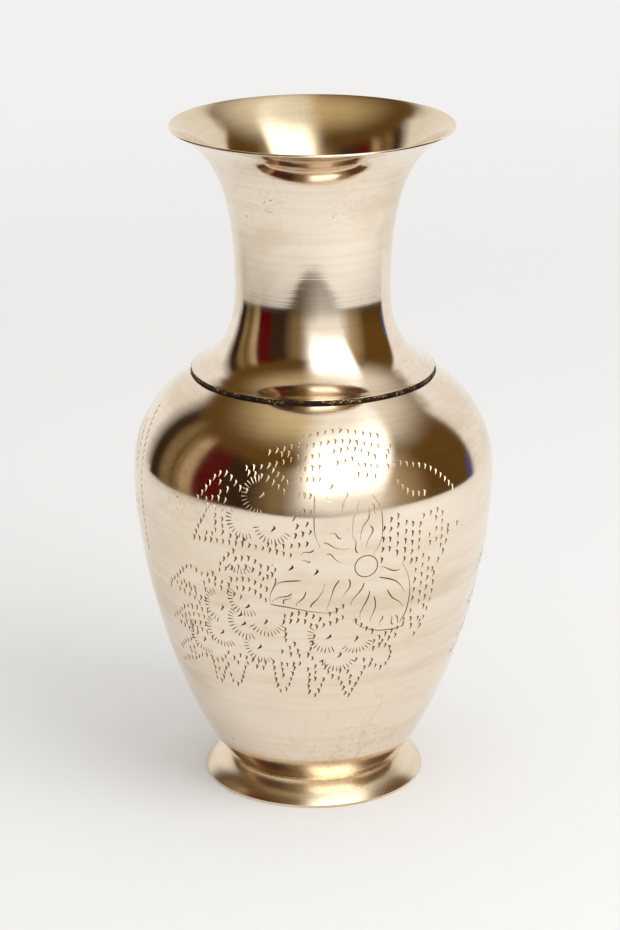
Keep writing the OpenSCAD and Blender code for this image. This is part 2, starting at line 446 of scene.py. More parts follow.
DASH_ROWS = (
    # arcs over the flower
    ((-15, 145), (-5, 147.5)), ((-22, 139.5), (-14, 141), (-5, 144)), ((-13, 144.5), (-6, 145)),
    ((-21, 138), (-15, 137), (-9, 133)), ((-13, 139.5), (-8, 136)), ((-4, 150), (10, 151.5), (24, 149)),
    ((-5, 147), (10, 148.5), (23, 146)), ((-5, 143.5), (2, 144.5)), ((7, 145.5), (14, 146), (21, 143)),
    ((-5, 140), (2, 141)), ((8, 142), (13, 143)), ((15, 141), (21, 140)), ((-4, 137), (2, 137)),
    ((14.5, 138), (20, 137)), ((-4.5, 132), (-1, 131.5)),
    # arch to the left of the flower
    ((-38, 126.5), (-35, 131), (-33, 134.5), (-30, 136.8), (-26.5, 135.5), (-24, 133), (-21, 132)),
    ((-37, 125.5), (-34, 127), (-31, 128), (-28, 127.5)), ((-30.5, 133.5), (-30, 130)),
    ((-27.5, 131.5), (-27, 128)), ((-34, 124.5), (-29, 124)), ((-31.5, 121.5), (-31.5, 116)),
    ((-29, 120.5), (-29, 115.5)), ((-40, 111), (-38, 116), (-35.5, 121), (-34, 125)),
    ((-40, 111), (-30, 112), (-20, 112), (-13, 111), (-7, 109.5)),
    ((-35, 114), (-28, 114.8), (-22, 114)), ((-14, 113.2), (-8, 113), (-2, 114)),
    ((-5.5, 117), (-1, 118.5)), ((-6, 123.5), (-4, 126), (-1, 126)), ((-5, 120.5), (-2, 121.5)),
    # leaf tops
    ((-30.5, 103), (-28.5, 106), (-25.5, 109)), ((-25, 106), (-20, 107), (-16.5, 104.5), (-12, 103.5)),
    ((-31, 100.5), (-27, 102), (-22, 103.5), (-17, 101.5)), ((-16, 99.5), (-13, 101.5)),
    # outer left leaf and its inner rows
    ((-54, 89.5), (-50, 93), (-46, 97), (-43, 98.8), (-38, 97), (-33.5, 98.5), (-30, 101.5)),
    ((-55, 87.5), (-50, 90), (-45, 89.5), (-40, 87)), ((-50, 87.5), (-44, 86.5), (-41, 84.5)),
    ((-47, 91.5), (-42, 90), (-38, 87)), ((-38, 96), (-37.5, 91)),
    ((-35.5, 95), (-29, 92.5), (-24, 91)), ((-33, 96.5), (-28, 95)),
    ((-27, 97.5), (-21, 98.5), (-15, 95.5)), ((-25, 94.5), (-20, 94.5), (-15.5, 91)),
    # second, third and fourth leaves on the left
    ((-57, 74), (-53, 77), (-49, 80.5), (-44, 82), (-38, 82)), ((-52, 75.5), (-46, 78.5), (-40, 79)),
    ((-56, 73), (-50, 71.5), (-45, 71)), ((-50, 74), (-44, 75.5), (-40, 76)),
    ((-47, 73), (-41, 73), (-38, 71)), ((-58, 61), (-54.5, 64), (-50, 66.5), (-47, 70)),
    ((-55, 61.5), (-50, 63), (-47, 65)),
    ((-60, 54.5), (-55, 57), (-50, 58.5), (-45, 61.5), (-40, 61.8), (-36, 61.5), (-32, 66)),
    ((-52, 60.5), (-47, 61)),
    # fringe of pointed lobes along the bottom
    ((-40, 60), (-40, 56), (-40.5, 53), (-38.5, 52), (-36.5, 54.5), (-35, 58), (-33, 60.5)),
    ((-33, 58.5), (-32.7, 55), (-32, 52.8), (-29.5, 53), (-27.5, 56.5), (-26, 60.5), (-24.5, 63)),
    ((-38, 57.5), (-37.8, 55)), ((-31, 66), (-28.5, 62.5)), ((-27, 66), (-22, 64.8), (-17.5, 64.5)),
    ((-23.5, 62.3), (-18.5, 62)),
    ((-14.5, 65), (-14.3, 60), (-13.8, 55), (-12.5, 52.3), (-10, 54), (-8.5, 58), (-7, 63)),
    ((-11.5, 64.5), (-11.3, 59.5)), ((-9.5, 64.5), (-5, 65)),
    ((-4, 64.5), (-1.8, 62), (-1.8, 57), (-2, 53), (0.5, 51), (2, 53.5), (3.5, 58)),
    ((0.5, 64), (0.5, 58.5)),
    ((3, 66), (6, 60), (9, 58.5), (11, 54), (13, 49.8), (15, 53.5), (17, 58), (18.5, 62)),
    ((9.5, 61.5), (13, 60.5), (13.5, 56)), ((15, 66), (21, 64.8)),
    ((18, 63.5), (22, 62.5), (25.5, 61), (28, 65), (27.5, 69), (24, 71), (21, 70)),
    # clusters under the flower
    ((-9.5, 85), (-4, 86.5), (2, 84)), ((-10, 82.5), (-4, 83.5), (-1, 81.5)),
    ((-9.5, 79.5), (-9.5, 75)), ((0.5, 84), (5, 86), (9.5, 89)), ((1, 81), (6, 82.5), (9.5, 84.5)),
    ((-8.5, 74.5), (-8, 69)), ((-11, 70), (-5, 68.5)), ((-6.5, 73.5), (-5.5, 70.5)),
    ((0.5, 79.5), (-0.5, 74), (-2, 69)), ((-0.5, 67.5), (4, 66)), ((14, 82.5), (17, 79.5), (20, 77.5)),
    ((21, 73), (24, 75), (28, 76.5), (31.5, 78)), ((24, 72.5), (29, 74)),
    # arcs at the top right
    ((25, 139.5), (29, 139.8), (33, 139), (39, 137), (44, 133), (48.5, 127.5)),
    ((27.5, 134), (29.5, 131.5), (32, 129.3), (36.5, 128.5)), ((25, 142.5), (27.5, 145.5)),
)

# Sparser columns to the right of the flower
COLUMN_ROWS = (
    ((21.5, 106), (22, 118)), ((24, 110), (24.3, 121)), ((26.7, 108), (26.7, 122)),
    ((29.4, 105), (29.6, 119)), ((32, 103.5), (32, 118)), ((34.5, 108), (34.7, 117)),
    ((36, 120), (41.5, 120.8)), ((38.5, 112), (39, 109)), ((41, 118), (41.5, 109.5)),
    ((43.7, 119), (43.7, 106.5)), ((46.5, 111), (45.5, 105), (43.5, 101.5), (41, 98)),
    ((46.5, 113), (51, 112.8)), ((34, 103.5), (34, 91.5)), ((36.5, 104.5), (36.8, 86)),
    ((39, 102.5), (39.2, 83.5)), ((41.8, 96), (42, 89), (40.8, 82), (39.2, 76), (37, 72.5)),
    ((31.5, 80), (37.5, 79)), ((33.8, 88), (33.8, 83)), ((31, 77), (35, 76.5)),
    ((36, 75.5), (38.5, 77.5)),
)

# A border that was struck only once, at the left of the front panel
BORDER_ROWS = (
    ((-80, 147), (-75, 140), (-71, 130), (-70, 116), (-69, 97)), ((-83, 141), (-78, 134), (-76, 126)),
)

# Notches round a blossom: centre, start and end bearing, and radius in millimetres
BLOSSOMS = (
    ((-16.5, 131), 100, 275, 6.0), ((-21.5, 121.5), 150, 290, 6.0), ((-12.5, 120.5), 190, 330, 6.0),
    ((-32, 85.5), 110, 250, 6.2), ((-22.5, 90.5), 150, 300, 6.0), ((-33, 75.5), 140, 310, 6.0),
    ((-23, 81), 140, 290, 6.2), ((-16, 83.5), 215, 335, 6.4), ((-18, 71.5), 160, 300, 6.0),
    ((-42, 70.5), 130, 290, 6.2), ((4.5, 77), 150, 290, 6.0), ((14.5, 76), 225, 335, 6.0),
    ((8.5, 69), 205, 330, 6.4), ((-24, 107), 225, 320, 5.6),
)

# Single struck wedges, each longer and wider than a dash
WEDGES = (
    (-16, 131), (-12.3, 119.2), (5.5, 134.5), (-31.5, 85), (-23.5, 90), (-33, 74.5),
    (-24, 80), (-16, 82), (-19, 71), (-42, 69), (5, 76.5), (14.5, 75), (9, 68.5),
    (-7, 104.5), (0.8, 103), (-25, 83.5), (-22, 87.5),
)

# Petal edges and veins of the open flower
PETAL_LINES = (
    ((-4, 99.8), (-8, 99.4), (-11, 98.6), (-12, 97)), ((-12, 100.5), (-13, 96), (-14, 90)),
    ((-14, 89.6), (-8, 88.8), (0, 87.2), (6, 86.8), (9.5, 89.5)),
    ((-13.5, 90.5), (-10, 93), (-7, 94.6)), ((-9.5, 90), (-9, 92), (-7, 93.3)),
    ((-5.5, 89.5), (-4.5, 91.5), (-2.5, 95.5)), ((-1, 89), (0.8, 92), (3.5, 98.5)),
    ((4, 87.5), (5.5, 93), (6.5, 97), (8, 99.8)), ((9.5, 93), (11, 96), (11, 100)),
    ((12, 89), (13.5, 93), (16, 98)), ((15.5, 83), (16, 88), (18, 94.5)),
    ((19, 81.5), (20, 86), (19.5, 92)), ((22.5, 79.5), (23, 83.5)), ((26, 83), (27.5, 79)),
    ((28, 82.5), (30, 79)), ((20.5, 103.5), (24, 102.2), (28, 101.3)),
    ((21, 99.5), (26, 97.5), (29, 94.5), (30.5, 91.5)), ((24, 94), (26, 90.5), (29, 88), (30.5, 85.5)),
    ((28.5, 104), (31, 99), (32.5, 92), (32, 84), (30, 79.5)),
    ((12.5, 83.5), (16, 80), (22, 77.6), (30, 77.2), (32, 79)),
    ((10.5, 132.5), (9.6, 130), (10, 127.5)), ((14, 129.5), (13, 126), (12, 122), (12, 116)),
    ((17, 127), (17, 123), (15, 119.5), (14.2, 114.5)), ((17.5, 120), (18, 117), (16.3, 112)),
    ((18.5, 131), (21, 125), (21.3, 115), (18.7, 108.7)), ((12, 116), (13, 113), (13.6, 110)),
    ((0.4, 132), (0.2, 124), (0.4, 118), (2, 112.5)), ((5, 118), (7, 117.2), (8.5, 116)),
    ((3, 114.5), (6, 112.8), (11, 112)), ((4, 110), (6, 109), (9, 106.5)),
    ((-3.8, 109.8), (-2, 111), (0, 112)), ((-3.5, 107.5), (-1, 107.5)), ((3, 132), (5.5, 129.5)),
    ((8.5, 129), (9, 125)), ((18, 128), (19.5, 124)),
)
FLOWER_CENTRE = (16.5, 104.5)
CENTRE_RADIUS = 4.2 * MM

# Angles of the panels round the body, with the front one first
PANEL_TURNS = (0.0, 127.0, 233.0)

# Distance between two notches of a comb
NOTCH_PITCH = 1.35 * MM

# A stroke is left out if it lies nearer than this to one of so many latest dashes
DASH_GAP = 1.75 * MM
WEDGE_GAP = 1.9 * MM
DASHES_HELD = 260
DASHES_HELD_FOR_WEDGES = 900


def body_profile(s):
    """Heights, radii and outward normals of the whole polished body, as arrays."""
    rows = []
    for handles in (bowl_handles(s), shoulder_handles(s)):
        for i in range(401):
            point = on_curve(handles, i / 400)
            way = along_curve(handles, i / 400)
            rows.append((point.y, point.x, way.y, -way.x))
    return np.array(rows).T


class Skin:
    """The polished outside of the body, which every stroke is laid on."""

    def __init__(self, sizes):
        self.heights, self.radii, self.out, self.up = body_profile(sizes)

    def read(self, values, height):
        """One of the skin's values at a height."""
        return float(np.interp(height, self.heights, values))

    def place(self, degrees, height):
        """Matrix of a spot on the skin: its right, its up, its outward normal and its place."""
        radius = self.read(self.radii, height)
        out = self.read(self.out, height)
        rise = self.read(self.up, height)
        turn = math.radians(degrees)
        radial = Vector((math.sin(turn), -math.cos(turn), 0))
        normal = (radial * out + Vector((0, 0, rise))).normalized()
        right = Vector((math.cos(turn), math.sin(turn), 0))
        upward = normal.cross(right)
        matrix = Matrix((right, upward, normal)).transposed().to_4x4()
        matrix.translation = radial * radius + Vector((0, 0, height))
        return matrix

    def shift(self, spot, right, up):
        """The spot that lies that far to the right and up from another, on the skin."""
        degrees, height = spot
        steepness = max(self.read(self.out, height), 0.3)
        turn = math.degrees(right / self.read(self.radii, height))
        return degrees + turn, height + up * steepness


def flowing(points, spans=6):
    """A smooth path through chosen points."""
    ends = [points[0]] + list(points) + [points[-1]]
    path = []
    for a, b, c, d in zip(ends, ends[1:], ends[2:], ends[3:]):
        for i in range(spans):
            t = i / spans
            path.append(tuple(
                0.5 * (2 * q + (r - p) * t + (2 * p - 5 * q + 4 * r - u) * t * t
                       + (3 * q - p - 3 * r + u) * t ** 3)
                for p, q, r, u in zip(a, b, c, d)))
    path.append(points[-1])
    return path


def evenly(skin, points, pitch):
    """Spots at an even pitch along a path on the skin."""
    path = [(a, z * MM) for a, z in flowing(points)]
    places = [skin.place(a, z).translation for a, z in path]
    gaps = [(q - p).length for p, q in zip(places, places[1:])]
    run = np.concatenate(([0.0], np.cumsum(gaps)))
    count = max(2, round(run[-1] / pitch) + 1)
    marks = np.linspace(0.0, run[-1], count)
    return list(zip(np.interp(marks, run, [p[0] for p in path]),
                    np.interp(marks, run, [p[1] for p in path])))


def graver_tip(name, stations, depth):
    """A closed four-sided cutter through stations of (across, along, half width)."""
    clear_selection()
    across, along, half = stations[0]
    bpy.ops.mesh.primitive_circle_add(vertices=4, radius=half, fill_type="NGON",
                                      rotation=(math.pi / 2, 0, 0), location=(across, along, 0))
    tip = bpy.context.object
    tip.name = name
    bpy.ops.object.transform_apply(location=True, rotation=True, scale=True)
    edit_all()
    for before, after in zip(stations, stations[1:]):
        step = (after[0] - before[0], after[1] - before[1], 0)
        grow = after[2] / before[2]
        bpy.ops.mesh.extrude_region_move(TRANSFORM_OT_translate={"value": step})
        bpy.ops.transform.resize(value=(grow, 1, grow), center_override=(after[0], after[1], 0))
    bpy.ops.mesh.select_all(action="SELECT")
    bpy.ops.transform.resize(value=(1, 1, depth), center_override=(0, 0, 0))
    bpy.ops.mesh.normals_make_consistent(inside=False)
    bpy.ops.object.mode_set(mode="OBJECT")
    mesh = tip.data
    bpy.data.objects.remove(tip)
    return mesh


def dash_tip(e):
    """Cutter of a struck dash: a wide hooked head and a fine tail."""
    half = e.dash_width / 2
    reach = e.dash_length / 2
    return graver_tip("dash_tip", (
        (-1.25 * half, 1.00 * reach, 0.10 * half),
        (-0.75 * half, 0.93 * reach, 0.50 * half),
        (-0.05 * half, 0.72 * reach, 0.98 * half),
        (0.20 * half, 0.30 * reach, 0.72 * half),
        (0.05 * half, -0.40 * reach, 0.52 * half),
        (-0.30 * half, -1.00 * reach, 0.12 * half),
    ), e.depth_share)


def notch_tip(e):
    """Cutter of a blossom's notch: a fine spindle."""
    half = e.notch_width / 2
    reach = e.notch_length / 2
    return graver_tip("notch_tip", (
        (0, reach, 0.30 * half),
        (0, 0.55 * reach, 1.00 * half),
        (0, -0.30 * reach, 0.75 * half),
        (0, -reach, 0.16 * half),
    ), e.depth_share)


def strike(batch, tip, matrix, lean=0.0, scale=1.0):
    """Add one copy of a cutter at a place on the skin."""
    copy = tip.copy()
    copy.transform(matrix @ Matrix.Rotation(-lean, 4, "Z") @ Matrix.Scale(scale, 4))
    batch.from_mesh(copy)
    bpy.data.meshes.remove(copy)


def as_tool(name, batch):
    """Turn a batch of cutters into an object."""
    mesh = bpy.data.meshes.new(name)
    batch.to_mesh(mesh)
    batch.free()
    return into_scene(name, mesh)


def crowded(place, taken, gap):
    """Whether a place lies too near one of those already taken."""
    return any((place - other).length < gap for other in taken)


def struck_tool(skin, e):
    """All the dashes and wedges of all the panels."""
    hand = random.Random(11)
    tip = dash_tip(e)
    batch = bmesh.new()
    taken = []
    for turn in PANEL_TURNS[:e.panels]:
        rows = [(row, e.dash_pitch) for row in DASH_ROWS + (() if turn else BORDER_ROWS)]
        rows += [(row, e.column_pitch) for row in COLUMN_ROWS]
        for row, pitch in rows:
            for degrees, height in evenly(skin, row, pitch):
                matrix = skin.place(degrees + turn, height)
                if crowded(matrix.translation, taken[-DASHES_HELD:], DASH_GAP):
                    continue
                taken.append(matrix.translation.copy())
                strike(batch, tip, matrix, math.radians(hand.uniform(-5, 23)),
                       hand.uniform(0.84, 1.12))
        for degrees, height in WEDGES:
            matrix = skin.place(degrees + turn, height * MM)
            if crowded(matrix.translation, taken[-DASHES_HELD_FOR_WEDGES:], WEDGE_GAP):
                continue
            strike(batch, tip, matrix, math.radians(hand.uniform(25, 50)), 1.15)
    bpy.data.meshes.remove(tip)
    return as_tool("struck_tool", batch)


def notched_tool(skin, e):
    """All the combs of notches round the blossoms."""
    hand = random.Random(5)
    tip = notch_tip(e)
    batch = bmesh.new()
    for turn in PANEL_TURNS[:e.panels]:
        for centre, start, end, radius in BLOSSOMS:
            middle = (centre[0] + turn, centre[1] * MM)
            ring = radius * MM
            count = round(math.radians(end - start) * ring / NOTCH_PITCH)
            for i in range(count + 1):
                bearing = math.radians(start + (end - start) * i / count)
                spot = skin.shift(middle, ring * math.cos(bearing), ring * math.sin(bearing))
                lean = math.pi / 2 - bearing + math.radians(hand.uniform(-6, 6))
                strike(batch, tip, skin.place(*spot), lean, hand.uniform(0.85, 1.15))
    bpy.data.meshes.remove(tip)
    return as_tool("notched_tool", batch)


def push_vein(curves, skin, turn, line, heavy_end):
    """A line that tapers from its heavy end. A short one sways to and fro."""
    path = flowing(line, 4)
    spline = curves.splines.new("POLY")
    spline.points.add(len(path) - 1)
    run = Vector(((line[-1][0] - line[0][0]) * 1.15, line[-1][1] - line[0][1]))
    side = Vector((-run.y, run.x)).normalized() * (0.5 * MM if len(line) < 4 else 0)
    for i, (degrees, height) in enumerate(path):
        along = i / (len(path) - 1)
        sway = side * math.sin(math.tau * along)
        place = skin.place(*skin.shift((degrees + turn, height * MM), sway.x, sway.y))
        sunk = place.translation + place.col[2].to_3d() * 0.04 * MM
        from_heavy = 1 - along if heavy_end else along
        spline.points[i].co = (*sunk, 1)
        spline.points[i].radius = 0.36 + 0.84 * math.sin(math.pi * (1 - from_heavy) ** 2 * 0.85)


def push_ring(curves, skin, turn, steps=28):
    """The circle at the flower's centre."""
    ring = curves.splines.new("POLY")
    ring.use_cyclic_u = True
    ring.points.add(steps - 1)
    centre = (FLOWER_CENTRE[0] + turn, FLOWER_CENTRE[1] * MM)
    for i, point in enumerate(ring.points):
        bearing = math.tau * i / steps
        spot = skin.shift(centre, CENTRE_RADIUS * math.cos(bearing),
                          CENTRE_RADIUS * math.sin(bearing))
        point.co = (*skin.place(*spot).translation, 1)
        point.radius = 0.85


def drawn_tool(skin, e):
    """The petal edges, the veins and the flower's centre as pushed lines."""
    hand = random.Random(23)
    curves = bpy.data.curves.new("drawn_tool", "CURVE")
    curves.dimensions = "3D"
    curves.bevel_depth = e.vein_width / 2
    curves.bevel_resolution = 1
    curves.use_fill_caps = True
    for turn in PANEL_TURNS[:e.panels]:
        for line in PETAL_LINES:
            push_vein(curves, skin, turn, line, hand.random() < 0.5)
        push_ring(curves, skin, turn)
    pick(into_scene("drawn_tool", curves))
    bpy.ops.object.convert(target="MESH")
    edit_all()
    close_up(0.001 * MM)
    return bpy.context.object


def engrave(piece, tools):
    """Cut every tool out of a piece, so that its strokes are real grooves."""
    for tool in tools:
        pick(piece)
        cut = piece.modifiers.new("Engraving", "BOOLEAN")
        cut.operation = "DIFFERENCE"
        cut.solver = "MANIFOLD"
        cut.material_mode = "TRANSFER"
        cut.object = tool
        bpy.ops.object.modifier_apply(modifier=cut.name)


def mesh_values(items, name, count, kind):
    """One value of every item of a mesh, as an array."""
    values = np.empty(count, dtype=kind)
    items.foreach_get(name, values)
    return values


def lay_true_normals(piece, skin):
    """Give the polished skin the drawn profile's own normals, so that reflections run unbroken."""
    mesh = piece.data
    faces = mesh.polygons
    spots = mesh_values(mesh.vertices, "co", len(mesh.vertices) * 3, float).reshape(-1, 3)
    radius = np.hypot(spots[:, 0], spots[:, 1])
    ideal = np.interp(spots[:, 2], skin.heights, skin.radii)
    on_skin = np.abs(radius - ideal) < 0.03 * MM
    out = np.interp(spots[:, 2], skin.heights, skin.out)
    rise = np.interp(spots[:, 2], skin.heights, skin.up)
    safe = np.maximum(radius, 1e-9)
    true = np.stack((spots[:, 0] / safe * out, spots[:, 1] / safe * out, rise), axis=1)
    corner = mesh_values(mesh.loops, "vertex_index", len(mesh.loops), np.int64)
    slots = mesh_values(faces, "material_index", len(faces), np.int64)
    totals = mesh_values(faces, "loop_total", len(faces), np.int64)
    polished = np.repeat(slots == 0, totals) & on_skin[corner]
    normals = np.where(polished[:, None], true[corner], 0.0)
    mesh.normals_split_custom_set(normals.tolist())


# ---------------------------------------------------------------------------
# Metals

NECK_INSIDE = (0.79, 0.665, 0.48)
BODY_INSIDE = (0.62, 0.46, 0.25)
FOOT_UNDERSIDE = (0.60, 0.44, 0.22)
SCRAPED_SOLDER = (0.93, 0.78, 0.46)
RAW_BRAZE = (0.78, 0.62, 0.32)
SPECK = (0.30, 0.13, 0.07)
# Painted glints: the bright grains on the dark solder and on the land
PAINTED_GLINT = (0.68, 0.46, 0.16)
SOLDER_STAIN = (0.42, 0.28, 0.12)

# Heights between which the engraving turns from dark patina to a brighter colour, a painted highlight
# for the light the strokes catch above the belly
PAINTED_HIGHLIGHT_FROM = (119 * MM, 127 * MM)


def add(tree, kind, inputs=None, **settings):
    """Add a node, set its options, and set or link its inputs."""
    made = tree.nodes.new(kind)
    for name, value in settings.items():
        setattr(made, name, value)
    for name, value in (inputs or {}).items():
        if isinstance(value, bpy.types.NodeSocket):
            tree.links.new(value, made.inputs[name])
        else:
            made.inputs[name].default_value = value
    return made


def calc(tree, operation, a, b=0.0):
    """One step of arithmetic."""
    return add(tree, "ShaderNodeMath", {0: a, 1: b}, operation=operation).outputs[0]


def plus(tree, a, b):
    """Sum of two values."""
    return calc(tree, "ADD", a, b)


def times(tree, product, *others):
    """Product of values."""
    for other in others:
        product = calc(tree, "MULTIPLY", product, other)
    return product


def split(tree, vector):
    """A vector's three values."""
    return add(tree, "ShaderNodeSeparateXYZ", {0: vector}).outputs


def between(tree, value, low, high, to_low=0.0, to_high=1.0):
    """Ease a value from one range into another."""
    return add(tree, "ShaderNodeMapRange",
               {0: value, 1: low, 2: high, 3: to_low, 4: to_high},
               interpolation_type="SMOOTHSTEP").outputs[0]


def blend(tree, factor, a, b):
    """Mix two colours."""
    made = add(tree, "ShaderNodeMix", data_type="RGBA")
    for socket, value in ((made.inputs[0], factor), (made.inputs[6], a), (made.inputs[7], b)):
        if isinstance(value, bpy.types.NodeSocket):
            tree.links.new(value, socket)
        else:
            socket.default_value = value
    return made.outputs[2]


def solid(colour):
    """A colour with full alpha."""
    return (*colour, 1.0)


def noise(tree, vector, scale, detail=2.0, roughness=0.5, distortion=0.0):
    """Smooth random values along a vector."""
    return add(tree, "ShaderNodeTexNoise",
               {"Vector": vector, "Scale": scale, "Detail": detail, "Roughness": roughness,
                "Distortion": distortion}).outputs[0]


def new_metal(name, metallic=1.0):
    """A material, its nodes, and where they read the object's own coordinates."""
    metal = bpy.data.materials.new(name)
    metal.use_nodes = True
    tree = metal.node_tree
    tree.nodes["Principled BSDF"].inputs["Metallic"].default_value = metallic
    return metal, tree, add(tree, "ShaderNodeTexCoord").outputs["Object"]


def dressed(metal, colour, roughness, normal):
    """Link a metal's colour, roughness and bumps to its shader."""
    tree = metal.node_tree
    shader = tree.nodes["Principled BSDF"]
    for name, value in (("Base Color", colour), ("Roughness", roughness), ("Normal", normal)):
        tree.links.new(value, shader.inputs[name])
    return metal


def lathe_vector(tree, here):
    """Distance from the axis and height, the same all the way round."""
    parts = split(tree, here)
    flat = add(tree, "ShaderNodeCombineXYZ", {0: parts[0], 1: parts[1]}).outputs[0]
    radius = add(tree, "ShaderNodeVectorMath", {0: flat}, operation="LENGTH").outputs["Value"]
    return add(tree, "ShaderNodeCombineXYZ", {0: radius, 2: parts[2]}).outputs[0]


def bump(tree, height, distance, base=None):
    """A bump of a height in metres."""
    inputs = {"Height": height, "Distance": distance}
    if base is not None:
        inputs["Normal"] = base
    return add(tree, "ShaderNodeBump", inputs).outputs[0]


def polished_brass(name, colour, finish, lines=1.0, haze=1.0, rough=0.0):
    """Lathe-polished brass: fine rings, brown haze, tide lines and a few specks."""
    metal, tree, here = new_metal(name)
    tarnish = solid(finish.tarnish)
    turned = lathe_vector(tree, here)
    fine = noise(tree, turned, 2300, 3.0, 0.6)
    broad = noise(tree, turned, 420)
    layered = add(tree, "ShaderNodeVectorMath", {0: here, 1: (1.0, 1.0, 2.4)},
                  operation="MULTIPLY").outputs[0]
    patches = between(tree, noise(tree, layered, 16, 5.0, 0.6, 0.4), 0.44, 0.70)
    tide = calc(tree, "SINE", times(tree, noise(tree, here, 26, 3.0, 0.5, 0.8), 46.0))
    rim = times(tree, between(tree, tide, 0.80, 1.0),
                between(tree, noise(tree, here, 9, 1.0), 0.47, 0.62))
    specks = add(tree, "ShaderNodeTexVoronoi", {"Vector": here, "Scale": 185}, feature="F1")
    dots = times(tree, between(tree, specks.outputs["Distance"], 0.05, 0.11, 1.0, 0.0),
                 between(tree, noise(tree, here, 60, 1.0), 0.60, 0.68))
    etched = times(tree, between(tree, noise(tree, here, 650), 0.50, 0.66),
                   between(tree, noise(tree, here, 15), 0.54, 0.68))
    tone = solid(colour)
    for cover, stain in (
        (times(tree, patches, 0.42 * haze), tarnish),
        (times(tree, rim, 0.30 * haze), solid(finish.bloom)),
        (times(tree, between(tree, broad, 0.42, 0.70), 0.16), tarnish),
        (times(tree, etched, 0.38 * haze), tarnish),
        (times(tree, dots, 0.75), solid(SPECK)),
    ):
        tone = blend(tree, cover, tone, stain)
    dull = plus(tree, times(tree, patches, 0.05 * haze), times(tree, fine, 0.05))
    dull = plus(tree, dull, times(tree, dots, 0.25))
    rings = bump(tree, fine, 0.0045 * MM * lines)
    waves = bump(tree, broad, 0.012 * MM * lines, rings)
    dents = bump(tree, noise(tree, here, 38), 0.12 * MM, waves)
    return dressed(metal, tone, plus(tree, dull, finish.polish + rough), dents)


def struck_metal(finish):
    """Metal laid bare by the graver: dark patina low on the body, and above the belly a brighter colour
    that is a painted highlight.
    """
    metal, tree, here = new_metal("struck_brass")
    grain = noise(tree, here, 900, 3.0, 0.6)
    # Painted highlight: the colour brightens with height, from the patina to the bright colour above
    # the belly
    painted_brightening = plus(tree, between(tree, split(tree, here)[2], *PAINTED_HIGHLIGHT_FROM),
                 times(tree, grain, 0.12))
    mixed = blend(tree, painted_brightening, solid(finish.patina), solid(finish.cut_painted_highlight))
    return dressed(metal, mixed, between(tree, grain, 0.2, 0.8, 0.26, 0.44),
                   bump(tree, grain, 0.02 * MM))


def dull_brass(name, colour, finish, rough):
    """Brass that was spun or cast and never buffed."""
    metal, tree, here = new_metal(name)
    rings = noise(tree, lathe_vector(tree, here), 900, 3.0, 0.6)
    cloud = noise(tree, here, 40, 5.0, 0.65)
    stained = blend(tree, between(tree, cloud, 0.38, 0.72, 0.0, 0.65), solid(colour),
                    solid(finish.tarnish))
    pits = bump(tree, noise(tree, here, 1500, 3.0), 0.012 * MM)
    return dressed(metal, stained, between(tree, cloud, 0.2, 0.8, rough, rough + 0.2),
                   bump(tree, rings, 0.03 * MM, pits))


def crusted_metal(name, finish, glint_threshold):
    """Burnt flux and grime, with bright grains that are painted glints."""
    metal, tree, here = new_metal(name, 0.75)
    grains = noise(tree, here, 1300, 4.0, 0.65)
    # Painted glints: bright grains scattered over the dark crust
    painted_glints = times(tree, between(tree, grains, glint_threshold, glint_threshold + 0.12),
                   between(tree, noise(tree, here, 210, 3.0), 0.42, 0.58))
    mixed = blend(tree, painted_glints, solid(finish.solder), solid(PAINTED_GLINT))
    return dressed(metal, mixed, between(tree, grains, 0.3, 0.7, 0.38, 0.75),
                   bump(tree, grains, 0.09 * MM))


def bright_solder(name, colour, stain):
    """Solder or braze that was scraped back to bright metal."""
    metal, tree, here = new_metal(name)
    scrape = noise(tree, here, 700, 3.0, 0.6, 0.5)
    mixed = blend(tree, between(tree, scrape, 0.35, 0.75, 0.0, stain), solid(colour),
                  solid(SOLDER_STAIN))
    return dressed(metal, mixed, between(tree, scrape, 0.2, 0.8, 0.18, 0.42),
                   bump(tree, scrape, 0.06 * MM * stain))


# ---------------------------------------------------------------------------
# Operators


class VASE_OT_neck(bpy.types.Operator):
    """Turn the trumpet neck, with its rolled lip and the land round its skirt"""

    bl_idname = "vase.neck"
    bl_label = "Spun neck"

    def execute(self, context):
        sizes, finish = context.scene.vase_sizes, context.scene.vase_finish
        neck = turn_on_lathe("spun_neck", neck_outline(sizes), 256)
        coat(neck, polished_brass("neck_brass", finish.brass, finish, lines=1.1),
             polished_brass("neck_inside", NECK_INSIDE, finish, haze=1.4, rough=0.03),
             crusted_metal("land_painted_reflection", finish, 0.50))
        paint_inside(neck, (skirt_handles(sizes), flare_handles(sizes)), sizes.neck_wall, 1)
        # The land gets the dark crust colour with bright grains: painted reflection of the dark room,
        # with painted glints
        paint_land(neck, sizes.skirt_height + sizes.land_height, sizes.skirt_radius, 2)
        smooth(neck, 25)
        seat(neck, "neck")
        return {"FINISHED"}


class VASE_OT_body(bpy.types.Operator):
    """Turn the shoulder and the bowl, and cut the flower panels into both"""

    bl_idname = "vase.body"
    bl_label = "Engraved body"

    def execute(self, context):
        sizes, finish = context.scene.vase_sizes, context.scene.vase_finish
        work = context.scene.vase_engraving
        skin = Skin(sizes)
        tools = (struck_tool(skin, work), notched_tool(skin, work), drawn_tool(skin, work))
        polished = polished_brass("body_brass", finish.brass, finish)
        inside = dull_brass("body_inside", BODY_INSIDE, finish, 0.35)
        struck = struck_metal(finish)
        for tool in tools:
            coat(tool, struck)
        for name, outline, handles, node in (
            ("engraved_shoulder", shoulder_outline(sizes), shoulder_handles(sizes), "shoulder"),
            ("engraved_bowl", bowl_outline(sizes), bowl_handles(sizes), "bowl"),
        ):
            piece = turn_on_lathe(name, outline)
            coat(piece, polished, inside)
            paint_inside(piece, (handles,), sizes.body_wall, 1)
            engrave(piece, tools)
            smooth(piece, 32)
            lay_true_normals(piece, skin)
            seat(piece, node)
        for tool in tools:
            bpy.data.objects.remove(tool)
        return {"FINISHED"}


